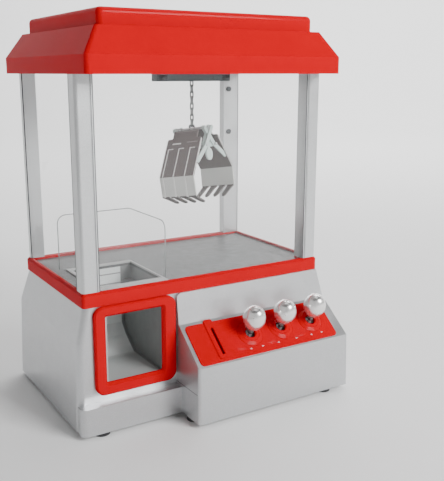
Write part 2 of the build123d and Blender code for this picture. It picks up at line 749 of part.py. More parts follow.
def bridge_rods():
    rods = []
    for offset in (-CROSS_ROD_Y, CROSS_ROD_Y):
        y = BRIDGE_Y + offset
        rods.append(bar((-112, y, CROSS_ROD_Z), (112, y, CROSS_ROD_Z), ROD))
    return rods


def bridge_rack():
    """Toothed strip along X for the trolley, between the end blocks."""
    return Pos(0, BRIDGE_Y + CROSS_RACK_Y, CROSS_PITCH_Z) * rack(-104.5, 209, 3.4)


def bridge_motor():
    """Gear motor on the right end block, with the axle running through it."""
    y, z = axle_point()
    case = block(84, 104.5, y - 4, y + 14, 315.8, 334)
    case = case + bar((60, y + 7, 325), (84, y + 7, 325), 8)
    return case - bar((60, y, z), (105, y, z), 1.5 + RUN)


# Trolley and hoist


def trolley_frame():
    """Carriage on the cross rods, with the long hoist housing that shows below the roof."""
    x, y = TROLLEY_X, BRIDGE_Y
    body = block(x - 40.3, x + 40.3, y - 7.5, y + 7.5, 305, 327)
    body = fillet(body.edges().filter_by(Axis.Z), 2)
    body = body - block(x + 19.7, x + 20.3, y - 8, y - 7, 305, 327)
    body = body + block(x - 34, x + 34, y - 15, y + 15, 326.6, 339)
    for offset in (-CROSS_ROD_Y, CROSS_ROD_Y):
        start, end = (x - 50, y + offset, CROSS_ROD_Z), (x + 50, y + offset, CROSS_ROD_Z)
        body = body - bar(start, end, ROD + RUN)
    body = body - bar((x, y, 300), (x, y, 345), 3.4)
    motor_x = trolley_motor_x()
    body = body - block(motor_x - 6, motor_x + 6, y - 7.5, y + 7.5, 330, 345)
    start, end = (motor_x, y - 16, CROSS_PITCH_Z + PINION), (motor_x, y - 7, CROSS_PITCH_Z + PINION)
    return body - bar(start, end, PIN + RUN)


def trolley_motor_x():
    return TROLLEY_X - 20.0


def trolley_motor():
    x, y = trolley_motor_x(), BRIDGE_Y
    case = block(x - 6, x + 6, y - 7.5, y + 7.5, 330, 345)
    start, end = (x, y - 7.5, CROSS_PITCH_Z + PINION), (x, y - 4, CROSS_PITCH_Z + PINION)
    return case - bar(start, end, PIN + RUN)


def trolley_pinion():
    """The trolley's drive wheel and its shaft."""
    x, y, z = trolley_motor_x(), BRIDGE_Y + CROSS_RACK_Y, CROSS_PITCH_Z + PINION
    distance = (x + 104.5) % TOOTH_PITCH
    wheel = Pos(x, y, z) * pinion(3.0, gap_turn(distance))
    return wheel + bar((x, y - 1.5, z), (x, BRIDGE_Y - 4.5, z), PIN)


def hoist_motor():
    x, y = TROLLEY_X + HOIST_RADIUS + 3.2, BRIDGE_Y
    case = block(x - 9, x + 9, y + 2.6, y + 15, 339, 356)
    case = case + bar((x + 9, y + 9, 347.5), (x + 26, y + 9, 347.5), 6)
    return case - bar((x, y + 2, HOIST_Z), (x, y + 8, HOIST_Z), PIN + RUN)


def chain_wheel():
    """Pocketed chain wheel beside the chain, with its shaft."""
    x, y = TROLLEY_X + HOIST_RADIUS + 3.2, BRIDGE_Y
    wheel = bar((x, y - 2.2, HOIST_Z), (x, y + 2.2, HOIST_Z), HOIST_RADIUS)
    for k in range(8):
        turn = radians(45 * k + 22.5)
        px, pz = x + 7.2 * cos(turn), HOIST_Z + 7.2 * sin(turn)
        wheel = wheel - bar((px, y - 3, pz), (px, y + 3, pz), 1.7)
    return wheel + bar((x, y, HOIST_Z), (x, y + 7.5, HOIST_Z), PIN)


def chain_link():
    """One flat oval link about the origin, upright in the XZ plane."""
    inner = LINK_PITCH + 0.06
    outline = SlotOverall(inner + 2 * LINK_BAR, 4.4) - SlotOverall(inner, 2.0)
    link = Pos(0, LINK_BAR / 2, 0) * extrude(Plane.XZ * outline, LINK_BAR)
    return Rot(0, 90, 0) * link


def lift_chain():
    links = []
    z = HANG_Z + 4.6
    turn = 0
    while z < CHAIN_TOP:
        links.append(Pos(TROLLEY_X, BRIDGE_Y, z) * Rot(0, 0, CLAW_TURN + turn) * chain_link())
        z = z + LINK_PITCH
        turn = 90 - turn
    return links


# Claw


def place_claw(shape):
    """Claw pieces are drawn about the hang point, opening along X, then tilted and turned into place."""
    return Pos(TROLLEY_X, BRIDGE_Y, HANG_Z) * Rot(0, 0, CLAW_TURN) * Rot(-CLAW_TILT, 0, 0) * shape


def strap(start, end, y, width, thick):
    """A flat bar with round ends between two (x, z) points, centred on y."""
    start, end = Vector(start[0], y, start[1]), Vector(end[0], y, end[1])
    length = (end - start).length
    turn = degrees(atan2(end.Z - start.Z, end.X - start.X))
    outline = Rot(0, 0, turn) * SlotCenterToCenter(length, width)
    middle = (start + end) * 0.5
    return Pos(middle.X, y + thick / 2, middle.Z) * extrude(Plane.XZ * outline, thick)


def claw_swivel():
    """Eye on the end of the chain, with a shank that the claw turns about."""
    eye = block(-0.8, 0.8, -3.2, 3.2, -4, 3.4)
    eye = fillet(eye.edges().filter_by(Axis.X).sort_by(Axis.Z)[-2:], 2.2)
    eye = eye - Pos(0, 0, 0.6) * Rot(0, 90, 0) * Cylinder(1.7, 6)
    shank = bar((0, 0, -23.6), (0, 0, -3), 1.6)
    shank = shank + bar((0, 0, -23.6), (0, 0, -21 - GAP), 3)
    return place_claw(eye + shank + bar((0, 0, -15 + GAP), (0, 0, -13.2), 3))


def claw_head():
    """Cross bar and two end plates, each an X of straps over a round hub."""
    px, pz = JAW_PIVOT
    sx, sz = SPREADER
    head = block(-3.6, 3.6, -15, 15, -21, -15)
    for y in (-15.6, 15.6):
        ends = ((-px, pz), (px, pz)), ((-sx, sz), (px, pz)), ((sx, sz), (-px, pz)), ((0, pz), (0, -27))
        for start, end in ends:
            head = head + strap(start, end, y, 4.6, 1.6)
        head = head + Pos(0, y, -27) * Rot(90, 0, 0) * Cylinder(6.0, 1.6)
    for x, z in ((-px, pz), (px, pz), (-sx, sz), (sx, sz)):
        head = head - Pos(x, 0, z) * Rot(90, 0, 0) * Cylinder(PIN, 60)
    return place_claw(head - bar((0, 0, -30), (0, 0, 0), 1.6 + RUN))


def claw_pins():
    """The two jaw pivots and the two spreader rods above them."""
    px, pz = JAW_PIVOT
    sx, sz = SPREADER
    rods = [bar((x, -20.6, pz), (x, 20.6, pz), PIN) for x in (-px, px)]
    rods += [bar((x, -16.4, sz), (x, 16.4, sz), PIN) for x in (-sx, sx)]
    return [place_claw(rod) for rod in rods]


def jaw_side():
    """Side view of one jaw's plate as (x, z) points of its outer face, top to tooth tip."""
    return (16.2, -8.8), (40.5, -43.5), (39.7, -63.3), (20.0, -72.0)


def plate_between(start, end, width):
    """A flat plate between two (x, z) points of its outer face."""
    start, end = Vector(start[0], 0, start[1]), Vector(end[0], 0, end[1])
    along = (end - start).normalized()
    inward = Vector(along.Z, 0, -along.X)
    corners = (start, end, end + inward * SHEET, start + inward * SHEET)
    return profile_xz([(c.X, c.Z) for c in corners], -width / 2, width / 2)


def jaw():
    """One jaw, opening towards +X: shouldered upper plate, lower plate and four teeth."""
    top, crease, lip, tip = jaw_side()
    neck = (top[0] - 5.0, top[1] + 7.14)
    plate = plate_between(top, crease, 2 * JAW_HALF)
    plate = plate + plate_between(neck, crease, 27.4)
    lower = plate_between(crease, lip, 2 * JAW_HALF)
    teeth = []
    for k in range(4):
        y = -JAW_HALF + 4.4 + k * (2 * JAW_HALF - 8.8) / 3
        tooth = plate_between(lip, tip, 4.6)
        teeth.append(Pos(0, y, 0) * tooth)
    return fuse([plate, lower, *teeth])


def jaw_arms(y):
    """Two bent straps that carry a jaw on its pivot and cross the other jaw's at the top."""
    px, pz = JAW_PIVOT
    arms = []
    for sign in (-1, 1):
        arm = strap((-5, -1.5), (px, pz), sign * y, 4.6, 1.2)
        arm = arm + strap((px, pz), (28.3, -30.5), sign * y, 4.6, 1.2)
        arm = arm - Pos(px, 0, pz) * Rot(90, 0, 0) * Cylinder(PIN + RUN, 60)
        arms.append(arm - jaw())
    return arms


def claw_half(shapes, turn):
    return [place_claw(Rot(0, 0, turn) * shape) for shape in shapes]


# Electrical fittings


def battery_box():
    x0, x1, y0, y1 = BAY
    box_wall = block(x0, x1, y0, y1, BODY_Z, 44) - block(x0 + 1.6, x1 - 1.6, y0 + 1.6, y1 - 1.6, 5, 42.4)
    for y in (CELL_Y[0] + CELL_Y[1], CELL_Y[1] + CELL_Y[2]):
        box_wall = box_wall + block(x0 + 12, x1 - 12, y / 2 - 0.25, y / 2 + 0.25, 34, 43)
    return box_wall


def batteries():
    middle = (BAY[0] + BAY[1]) / 2
    x0, x1 = middle - CELL_LENGTH / 2, middle + CELL_LENGTH / 2
    z = BODY_Z + 1 + CELL_RADIUS
    cells = []
    for k, y in enumerate(CELL_Y):
        nose = ((x1, y, z), (x1 + 1.5, y, z)) if k % 2 == 0 else ((x0 - 1.5, y, z), (x0, y, z))
        cells.append(bar((x0, y, z), (x1, y, z), CELL_RADIUS) + bar(*nose, 4.5))
    return cells


def battery_contacts():
    """Spring plates at both ends of the cells."""
    middle = (BAY[0] + BAY[1]) / 2
    z = BODY_Z + 1 + CELL_RADIUS
    plates = []
    for k, y in enumerate(CELL_Y):
        for side in (-1, 1):
            nose = (k % 2 == 0) == (side > 0)
            near = middle + side * (CELL_LENGTH / 2 + (1.5 if nose else 0))
            far = middle + side * ((BAY[1] - BAY[0]) / 2 - 1.6)
            x0, x1 = sorted((near, far))
            plates.append(block(x0, x1, y - 6, y + 6, z - 6, z + 6))
    return plates


def circuit_board():
    board = block(-24, 26, 22, 74, 14, 15.6)
    for x, y in ((-20, 26), (22, 26), (-20, 70), (22, 70)):
        board = board + bar((x, y, BODY_Z), (x, y, 14), 2.2)
    board = board + block(-12, 6, 40, 48, 15.6, 18) + block(12, 20, 50, 68, 15.6, 27)
    for k in range(3):
        board = board + bar((-14 + 9 * k, 62, 15.6), (-14 + 9 * k, 62, 25), 3)
    return board


def speaker():
    """Small loudspeaker facing down over the grille."""
    basket = bar((-78, 50, BODY_Z), (-78, 50, 9), 25) + bar((-78, 50, 19), (-78, 50, 25), 13)
    cone = loft([Pos(-78, 50, 9) * Circle(23), Pos(-78, 50, 19) * Circle(13)])
    return basket + cone - bar((-78, 50, 5), (-78, 50, 8), 21)


def switch_case():
    x, z = SWITCH_X + 2, SWITCH_Z
    return block(x - 13, x + 13, 76, 84.2, z - 8, z + 8) + block(x - 2, x + 2, 63.6, 76, z - 18, z - 4)


def switch_knob():
    x, z = SWITCH_X, SWITCH_Z
    return block(x - 3, x + 3, 84.5, 94.2, z - 2, z + 2)


# Hand-in: one file for each named piece

LEVERS = {}
for number, lever_x in enumerate(LEVER_X, 1):
    LEVERS[f"lever_stem_{number}"] = lever_stem(lever_x)
    LEVERS[f"lever_knob_{number}"] = lever_knob(lever_x)

PARTS = {
    "base_shell": base_shell(),
    "base_plate": base_plate(),
    "base_feet": base_feet(),
    "case_screws": case_screws(),
    "control_housing": control_housing(),
    "control_fascia": control_fascia(),
    "lever_boots": lever_boots(),
    "lever_sockets": lever_sockets(),
    **LEVERS,
    "coin_bin": coin_bin(),
    "coin_trip": coin_trip(),
    "coin_door": slide_door(*TOKEN_BIN),
    "door_frame": door_frame(),
    "prize_chute": prize_chute(),
    "deck_tray": deck_tray(),
    "chute_collar": chute_collar(),
    "chute_guard": chute_guard(),
    "rim_band": rim_band(),
    "front_posts": [front_post(-1), front_post(1)],
    "rear_left_post": rear_left_post(),
    "rear_right_post": rear_right_post(),
    "front_window": front_window(),
    "side_windows": side_windows(),
    "rear_door": rear_door(),
    "roof_shell": roof_shell(),
    "ceiling_frame": ceiling_frame(),
    "side_rods": side_rods(),
    "side_racks": side_racks(),
    "bridge_blocks": bridge_blocks(),
    "bridge_rods": bridge_rods(),
    "bridge_rack": bridge_rack(),
    "bridge_motor": bridge_motor(),
    "bridge_axle": bridge_axle(),
    "bridge_pinions": bridge_pinions(),
    "trolley_frame": trolley_frame(),
    "trolley_motor": trolley_motor(),
    "trolley_pinion": trolley_pinion(),
    "hoist_motor": hoist_motor(),
    "chain_wheel": chain_wheel(),
    "lift_chain": lift_chain(),
    "claw_swivel": claw_swivel(),
    "claw_head": claw_head(),
    "claw_pins": claw_pins(),
    "right_jaw": claw_half([jaw()], 0),
    "left_jaw": claw_half([jaw()], 180),
    "right_jaw_arms": claw_half(jaw_arms(17.4), 0),
    "left_jaw_arms": claw_half(jaw_arms(18.9), 180),
    "battery_box": battery_box(),
    "batteries": batteries(),
    "battery_contacts": battery_contacts(),
    "battery_door": slide_door(*BAY),
    "circuit_board": circuit_board(),
    "speaker": speaker(),
    "switch_case": switch_case(),
    "switch_knob": switch_knob(),
}

os.makedirs("parts", exist_ok=True)
for name, shape in PARTS.items():
    if isinstance(shape, list):
        solids = [solid for piece in shape for solid in piece.solids()]
        shape = Compound(children=solids)
    export_step(shape, f"parts/{name}.step")
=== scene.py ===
import json
from math import cos, pi, radians, sin

import bmesh
import bpy
from mathutils import Matrix, Vector


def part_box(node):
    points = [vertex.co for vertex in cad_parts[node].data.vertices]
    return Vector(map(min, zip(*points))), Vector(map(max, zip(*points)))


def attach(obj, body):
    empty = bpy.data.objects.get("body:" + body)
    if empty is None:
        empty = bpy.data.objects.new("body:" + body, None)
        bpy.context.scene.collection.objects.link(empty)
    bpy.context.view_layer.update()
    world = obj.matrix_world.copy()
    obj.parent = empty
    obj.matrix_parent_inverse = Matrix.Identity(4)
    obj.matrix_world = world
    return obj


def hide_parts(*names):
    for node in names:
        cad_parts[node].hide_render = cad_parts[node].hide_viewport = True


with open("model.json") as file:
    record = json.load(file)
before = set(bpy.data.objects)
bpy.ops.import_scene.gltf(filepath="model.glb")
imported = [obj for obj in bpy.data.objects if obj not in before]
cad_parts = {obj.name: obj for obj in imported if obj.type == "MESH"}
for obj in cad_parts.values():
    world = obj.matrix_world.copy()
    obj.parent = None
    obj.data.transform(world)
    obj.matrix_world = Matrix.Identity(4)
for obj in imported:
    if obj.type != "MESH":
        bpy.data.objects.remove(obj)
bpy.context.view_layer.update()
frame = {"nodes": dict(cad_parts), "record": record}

NODES = frame["nodes"]
RECORD = frame["record"]
JOINTS = {joint["name"]: joint for joint in RECORD["behaviour"]["joints"]}
MM = 0.001
MM_SPACE = Matrix.Scale(MM, 4)

# Camera: place in metres, aim as a direction, lens in mm
CAMERA_AT = (-0.3355, -0.6280, 0.3134)
CAMERA_AIM = (0.5094, 0.8315, -0.2218)
CAMERA_LENS = 54.0
CAMERA_SHIFT = (0.0154, -0.0087)

# Studio: area lights as (name, place, aim, size in metres, watts), then the round floor and its wall
MIDDLE = (0, 0, 0.18)
LIGHTS = (
    ("key", (0.8, -1.75, 1.2), MIDDLE, 1.0, 57.0),
    ("top", (0.2, 0.3, 1.9), MIDDLE, 1.4, 9.0),
    ("wall", (1.5, 1.1, 2.6), (2.3, 3.3, 0.6), 1.8, 150.0),
)
WORLD_STRENGTH = 0.01
FLOOR_RADIUS = 3.0
WALL_CURVE = 1.0
WALL_TOP = 3.6

# Colours, linear
FLOOR_PALE = (0.93, 0.93, 0.93)
RED = (0.54, 0.000, 0.006)
SILVER = (0.58, 0.588, 0.598)
POST_SILVER = (0.62, 0.63, 0.635)
SLATE = (0.075, 0.105, 0.11)
DECK_GREY = (0.12, 0.125, 0.125)
CHUTE_GREY = (0.46, 0.48, 0.475)
CLAW_GREEN = (0.60, 0.70, 0.67)
CLAW_DARK = (0.15, 0.125, 0.12)
CLAW_LIGHT = (0.72, 0.73, 0.70)
# painted highlight: pale tone of the claw plates' raised lines, bands and side edges
RIB_PAINTED_HIGHLIGHT = (0.80, 0.80, 0.78)


# Materials


class Nodes:
    """A material's node tree with short calls for what every material here needs."""

    def __init__(self, name):
        self.material = bpy.data.materials.new(name)
        self.material.use_nodes = True
        self.tree = self.material.node_tree
        self.shader = self.tree.nodes["Principled BSDF"]
        self.place = self.tree.nodes.new("ShaderNodeTexCoord").outputs["Object"]

    def node(self, kind, **values):
        node = self.tree.nodes.new(kind)
        for key, value in values.items():
            node.inputs[key.replace("_", " ")].default_value = value
        return node

    def link(self, source, target):
        self.tree.links.new(source, target)

    def set(self, **values):
        for key, value in values.items():
            self.shader.inputs[key.replace("_", " ")].default_value = value

    def noise(self, scale, detail=4.0, stretch=None):
        """A noise value over the object's own coordinates; stretch scales each axis."""
        node = self.node("ShaderNodeTexNoise", Scale=scale, Detail=detail)
        if stretch:
            mapping = self.node("ShaderNodeMapping", Scale=stretch)
            self.link(self.place, mapping.inputs["Vector"])
            self.link(mapping.outputs["Vector"], node.inputs["Vector"])
        else:
            self.link(self.place, node.inputs["Vector"])
        return node.outputs["Fac"]

    def spread(self, value, low, high, start=0.3, end=0.7):
        """Maps a 0 to 1 value onto low to high."""
        node = self.node("ShaderNodeMapRange", From_Min=start, From_Max=end, To_Min=low, To_Max=high)
        self.link(value, node.inputs["Value"])
        return node.outputs["Result"]

    def ramp(self, value, first, second, start=0.3, end=0.7):
        """Maps a value onto a colour between two tones."""
        node = self.tree.nodes.new("ShaderNodeValToRGB")
        node.color_ramp.elements[0].position = start
        node.color_ramp.elements[1].position = end
        node.color_ramp.elements[0].color = (*first, 1)
        node.color_ramp.elements[1].color = (*second, 1)
        self.link(value, node.inputs["Fac"])
        return node.outputs["Color"]

    def bump(self, *heights):
        """Chains bumps of (height output, distance in metres)."""
        normal = None
        for height, distance in heights:
            node = self.node("ShaderNodeBump", Distance=distance, Strength=1.0)
            self.link(height, node.inputs["Height"])
            if normal:
                self.link(normal, node.inputs["Normal"])
            normal = node.outputs["Normal"]
        self.link(normal, self.shader.inputs["Normal"])


def tone(colour, factor):
    return tuple(min(1.0, c * factor) for c in colour)


def moulded(name, colour, rough, wobble=0.00006, grain=0.000008, metal=0.0, spread=0.05):
    """Moulded plastic: faint sink marks, a fine skin grain and uneven sheen."""
    m = Nodes(name)
    broad = m.noise(24.0, 2.0)
    fine = m.noise(900.0, 3.0)
    tint = m.ramp(broad, tone(colour, 1 - spread), tone(colour, 1 + spread))
    m.link(tint, m.shader.inputs["Base Color"])
    m.link(m.spread(m.noise(140.0, 5.0), rough * 0.85, rough * 1.2), m.shader.inputs["Roughness"])
    m.set(Metallic=metal)
    m.bump((broad, wobble), (fine, grain))
    return m.material


def sprayed_silver(name, colour, rough):
    """Silver paint over plastic: tiny flakes in a smooth film."""
    m = Nodes(name)
    flakes = m.node("ShaderNodeTexVoronoi", Scale=2600.0)
    m.link(m.place, flakes.inputs["Vector"])
    speck = m.ramp(flakes.outputs["Distance"], tone(colour, 0.8), tone(colour, 1.12), 0.1, 0.8)
    m.link(speck, m.shader.inputs["Base Color"])
    m.link(m.spread(m.noise(60.0, 4.0), rough * 0.88, rough * 1.15), m.shader.inputs["Roughness"])
    m.set(Metallic=0.85, Coat_Weight=0.15, Coat_Roughness=0.2)
    m.bump((m.noise(30.0, 2.0), 0.00005), (flakes.outputs["Distance"], 0.000006))
    return m.material


def brushed(name, colour, rough, stretch, metal=1.0):
    """Drawn or brushed metal with fine lines along one axis."""
    m = Nodes(name)
    lines = m.noise(700.0, 6.0, stretch)
    m.link(m.ramp(lines, tone(colour, 0.86), tone(colour, 1.1)), m.shader.inputs["Base Color"])
    m.link(m.spread(lines, rough * 0.8, rough * 1.25), m.shader.inputs["Roughness"])
    m.set(Metallic=metal)
    m.bump((lines, 0.000012))
    return m.material


def clear_sheet(name):
    """Clear acrylic with faint scuffs."""
    m = Nodes(name)
    scuffs = m.noise(160.0, 8.0, (1.0, 1.0, 0.35))
    m.link(m.spread(scuffs, 0.03, 0.12, 0.45, 0.8), m.shader.inputs["Roughness"])
    m.set(Base_Color=(0.93, 0.95, 0.955, 1), Alpha=0.035, IOR=1.49)
    m.bump((scuffs, 0.000004))
    return m.material


def glossy_red(name):
    """Gloss moulding whose colour stays full at the edges: a plain body under a thin clear coat."""
    m = Nodes(name)
    broad = m.noise(18.0, 2.0)
    m.link(m.ramp(broad, tone(RED, 0.97), tone(RED, 1.03)), m.shader.inputs["Base Color"])
    m.link(m.spread(m.noise(140.0, 5.0), 0.06, 0.12), m.shader.inputs["Coat Roughness"])
    m.set(Roughness=0.4, Specular_IOR_Level=0.0, Coat_Weight=0.22, Coat_IOR=1.35)
    m.bump((broad, 0.00002), (m.noise(700.0, 2.0), 0.000002))
    return m.material


def chute_grey_painted_shading(name, colour):
    """Grey moulding of the chute, with painted shade making the right wall darker and painted light
    making the slope and the rear wall lighter.
    """
    m = Nodes(name)
    split = m.node("ShaderNodeSeparateXYZ")
    m.link(m.place, split.inputs["Vector"])
    (x0, y0, _), (x1, y1, _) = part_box("prize_chute")
    # painted light: mask that brightens the grey towards the rear wall
    rear = m.spread(split.outputs["Y"], 0.0, 1.0, y1 - 0.036, y1 - 0.022)
    # painted shade: mask for the darker right wall
    right = m.spread(split.outputs["X"], 0.0, 1.0, x1 - 0.0135, x1 - 0.0125)
    pale = m.ramp(rear, tone(colour, 0.9), tone(colour, 1.7), 0.0, 1.0)
    # painted shade: the dark tone of the right wall
    dark = m.ramp(m.noise(30.0), tone(colour, 0.42), tone(colour, 0.5))
    mix = m.tree.nodes.new("ShaderNodeMix")
    mix.data_type = "RGBA"
    m.link(right, mix.inputs["Factor"])
    m.link(pale, mix.inputs["A"])
    m.link(dark, mix.inputs["B"])
    m.link(mix.outputs["Result"], m.shader.inputs["Base Color"])
    m.link(m.spread(m.noise(140.0, 5.0), 0.35, 0.5), m.shader.inputs["Roughness"])
    m.bump((m.noise(24.0, 2.0), 0.00004), (m.noise(900.0, 3.0), 0.000006))
    return m.material


def rubber(name, colour):
    """Rubber or fibre: a dark, fine, matt grain."""
    m = Nodes(name)
    grain = m.noise(1400.0, 4.0)
    m.link(m.ramp(grain, tone(colour, 0.7), tone(colour, 1.5)), m.shader.inputs["Base Color"])
    m.link(m.spread(m.noise(200.0), 0.55, 0.8), m.shader.inputs["Roughness"])
    m.bump((grain, 0.00002))
    return m.material


def cell_jacket():
    """Battery jacket: dark wrap with a copper-coloured end band."""
    m = Nodes("cell_jacket")
    split = m.node("ShaderNodeSeparateXYZ")
    m.link(m.place, split.inputs["Vector"])
    middle = (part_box("batteries")[0][0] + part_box("batteries")[1][0]) / 2
    band = m.ramp(split.outputs["X"], (0.02, 0.02, 0.024), (0.55, 0.26, 0.08), 0.0, 1.0)
    band.node.color_ramp.interpolation = "CONSTANT"
    band.node.color_ramp.elements[1].position = middle + 0.014
    m.link(band, m.shader.inputs["Base Color"])
    m.link(m.spread(m.noise(300.0), 0.25, 0.4), m.shader.inputs["Roughness"])
    m.set(Metallic=0.5)
    return m.material


def make_finishes():
    return {
        "silver_plastic": sprayed_silver("silver_plastic", SILVER, 0.36),
        "grey_plastic": moulded("grey_plastic", (0.50, 0.505, 0.50), 0.5),
        "red_plastic": glossy_red("red_plastic"),
        "black_rubber": rubber("black_rubber", (0.022, 0.022, 0.023)),
        "steel_screw": brushed("steel_screw", (0.10, 0.105, 0.11), 0.4, (1, 1, 1)),
        "satin_silver": moulded("satin_silver", (0.88, 0.87, 0.86), 0.24, 0.00001, 0.000001, 0.85, 0.02),
        "bright_steel": brushed("bright_steel", (0.75, 0.76, 0.77), 0.3, (1, 1, 1), 0.7),
        "deck_grey": moulded("deck_grey", DECK_GREY, 0.45, metal=0.2),
        "clear_sheet": clear_sheet("clear_sheet"),
        "post_silver": sprayed_silver("post_silver", POST_SILVER, 0.36),
        "slate_plastic": moulded("slate_plastic", SLATE, 0.4, metal=0.1),
        "white_plastic": moulded("white_plastic", (0.72, 0.72, 0.69), 0.4),
        "motor_metal": brushed("motor_metal", (0.5, 0.5, 0.51), 0.3, (0.2, 1, 1)),
        "dark_chain": brushed("dark_chain", (0.22, 0.225, 0.225), 0.35, (1, 1, 1)),
        "claw_grey": moulded("claw_grey", CLAW_GREEN, 0.42, metal=0.15),
        "claw_shell": moulded("claw_shell", CLAW_LIGHT, 0.45, metal=0.1),
        "cell_jacket": cell_jacket(),
        "board_green": moulded("board_green", (0.012, 0.10, 0.035), 0.3),
        "speaker_black": rubber("speaker_black", (0.015, 0.015, 0.016)),
        "black_plastic": moulded("black_plastic", (0.02, 0.02, 0.02), 0.4),
    }


def soften_edges(obj, width, angle):
    """A small bevel on edges sharper than an angle in degrees."""
    bevel = obj.modifiers.new("edges", "BEVEL")
    bevel.width = width
    bevel.segments = 2
    bevel.limit_method = "ANGLE"
    bevel.angle_limit = radians(angle)


def finish_nodes():
    """Gives every CAD node that shows its material, and softens its moulded edges."""
    soft = {"silver_plastic", "red_plastic", "post_silver", "slate_plastic", "claw_grey", "grey_plastic"}
    for part in RECORD["subparts"]:
        obj = NODES[part["node"]]
        obj.data.materials.clear()
        obj.data.materials.append(FINISH[part["material_slot"]])
        if part["material_slot"] in soft:
            soften_edges(obj, 0.6 * MM, 40)


# Pieces

TUBE_SIDES = 8
LATHE_STEPS = 36


def piece(name, bm, slot_name, body, material=None, bevel=0.0):
    """A finished mesh piece that rides on a body and takes its finish from a slot."""
    bmesh.ops.recalc_face_normals(bm, faces=bm.faces)
    mesh = bpy.data.meshes.new(name)
    bm.to_mesh(mesh)
    bm.free()
    mesh.materials.append(material or FINISH[slot_name])
    obj = bpy.data.objects.new(name, mesh)
    bpy.context.scene.collection.objects.link(obj)
    if bevel:
        soften_edges(obj, bevel, 35)
    else:
        mesh.shade_smooth()
    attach(obj, body)
    return obj


def tube(bm, points, radius, closed=False):
    """Sweeps a circle along points."""
    rings = []
    sides = TUBE_SIDES
    count = len(points)
    for k, point in enumerate(points):
        before = points[k - 1] if closed or k else point
        after = points[(k + 1) % count] if closed or k < count - 1 else point
        along = (after - before).normalized()
        side = along.orthogonal().normalized()
        if rings:
            side = (rings[-1][1] - along * rings[-1][1].dot(along)).normalized()
        up = along.cross(side)
        ring = [
            bm.verts.new(point + radius * (side * cos(2 * pi * j / sides) + up * sin(2 * pi * j / sides)))
            for j in range(sides)
        ]
        rings.append((ring, side))
    pairs = list(zip(rings, rings[1:])) + ([(rings[-1], rings[0])] if closed else [])
    for (first, _), (second, _) in pairs:
        for j in range(sides):
            bm.faces.new((first[j], first[j - 1], second[j - 1], second[j]))
    if not closed:
        bm.faces.new(rings[0][0])
        bm.faces.new(reversed(rings[-1][0]))


def lathe(bm, frame_matrix, outline):
    """Turns an outline of (radius, height) about the local Z axis of a frame."""
    rings = []
    steps = LATHE_STEPS
    for radius, height in outline:
        turn = [2 * pi * j / steps for j in range(steps)]
        points = [Vector((radius * cos(t), radius * sin(t), height)) for t in turn]
        rings.append([bm.verts.new(frame_matrix @ point) for point in points])
    for first, second in zip(rings, rings[1:] + rings[:1]):
        for j in range(steps):
            bm.faces.new((first[j - 1], first[j], second[j], second[j - 1]))


def prism(bm, frame_matrix, outline, low, high):
    """A prism over a polygon of local (x, y), from local z low to high."""
    bottom = [bm.verts.new(frame_matrix @ Vector((x, y, low))) for x, y in outline]
    top = [bm.verts.new(frame_matrix @ Vector((x, y, high))) for x, y in outline]
    bm.faces.new(reversed(bottom))
    bm.faces.new(top)
    for k in range(len(outline)):
        bm.faces.new((bottom[k - 1], bottom[k], top[k], top[k - 1]))


def basis(origin, x_axis, y_axis):
    """A frame in metres whose local units are millimetres."""
    x, y = Vector(x_axis).normalized(), Vector(y_axis).normalized()
    z = x.cross(y)
    turned = Matrix((x, y, z)).transposed().to_4x4()
    return Matrix.Translation(Vector(origin)) @ turned @ Matrix.Scale(MM, 4)


def claw_frame(turned):
    """The claw's own frame at its hang point; the left jaw's is turned half round."""
    across, down = Vector(JOINTS["jaw_close"]["axis"]), Vector(JOINTS["claw_twist"]["axis"])
    x_axis = across.cross(down)
    if turned:
        x_axis, across = -x_axis, -across
    return basis(JOINTS["claw_twist"]["pos_m"], x_axis, across)


# Claw jaws: outer face of the plates as (x, z) in the claw's frame, mm
NECK = (11.2, -1.66)
SHOULDER = (16.2, -8.8)
CREASE = (40.5, -43.5)
LIP = (39.7, -63.3)
TIP = (20.0, -72.0)
JAW_HALF = 19.2
NECK_HALF = 13.7
SHEET = 1.6
LINES = (-15.7, -3.6, 8.9)
TEETH = 4

# Other details, mm and degrees
KNOB_LEAN = 22.7
COLLAR_RISE = 9.05
PIVOT_UNDER_FASCIA = 6.0
PIVOT_BELOW_MIDDLE = 1.779
RINGS = ((12.6, 0.9), (8.9, 2.0))
ARROWS = ((21.5, -1), (35.5, 1), (53, -1), (75, 1), (92.5, -1), (106, 1))
GUARD_EDGE = 0.45
GUARD_SHEET = 1.6
GUARD_BEND = 8.0
SEAL_PROUD = 0.12
SEAL_DEPTH = 0.5
FRONT_SEALS = ((0.0, 0.7), (1.9, 2.4))
REAR_SEAL = 0.9
PLINTH_SEAM = (31.8, 32.3)
PANEL_FRONT = -73.0
TROLLEY_EDGE = 311.0
RIB_HEIGHTS = (78, 88, 98, 108, 118)


def plate_frame(claw, start, end):
    """A frame on a plate's outer face: local x down the plate, local y across, z outwards."""
    down = claw.to_3x3() @ Vector((end[0] - start[0], 0, end[1] - start[1]))
    across = claw.to_3x3() @ Vector((0, 1, 0))
    return basis(claw @ Vector((start[0], 0, start[1])), down, across)


def length(start, end):
    return ((end[0] - start[0]) ** 2 + (end[1] - start[1]) ** 2) ** 0.5


def strip(x0, x1, y0, y1):
    return ((x0, y0), (x1, y0), (x1, y1), (x0, y1))


